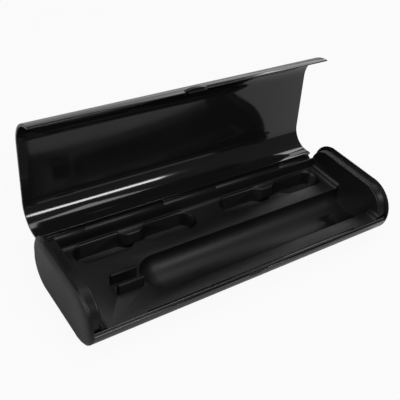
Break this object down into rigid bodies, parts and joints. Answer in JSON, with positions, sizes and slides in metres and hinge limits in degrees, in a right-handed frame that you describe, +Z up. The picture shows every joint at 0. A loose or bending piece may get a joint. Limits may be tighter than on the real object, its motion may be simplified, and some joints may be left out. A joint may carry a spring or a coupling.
{
  "type": "electric toothbrush travel case",
  "caption": "Hinged black travel case with rounded ends, a moulded tray with a handle trough, brush-head wells and shaft ribs, and a snap-shut lid.",
  "frame": {"origin": "middle of the flat underside of the base, between the two ends", "axes": "+X along the case towards its right end, -Y out of the front edge that the lid's latch closes on, +Y towards the hinge, +Z up"},
  "size_m": [0.24, 0.1097, 0.1047],
  "materials": {
    "gloss_black": "gloss",
    "satin_black": "satin",
    "tray_black": "satin",
    "rod_steel": "brushed",
    "screw_steel": "zinc plated"
  },
  "bodies": {
    "base": {"base_shell": "gloss_black", "tray_insert": "tray_black", "left_end_frame": "satin_black", "right_end_frame": "satin_black", "left_end_cover": "satin_black", "right_end_cover": "satin_black", "left_frame_screws": "screw_steel", "right_frame_screws": "screw_steel", "hinge_rod": "rod_steel"},
    "lid": {"lid_shell": "gloss_black", "latch_tab": "satin_black"}
  },
  "joints": [
    {"name": "lid_hinge", "type": "hinge", "parent": "base", "child": "lid", "pos_m": [0, 0.0442, 0.0191], "axis": [1, 0, 0], "range_deg": [0, 94.3]}
  ]
}
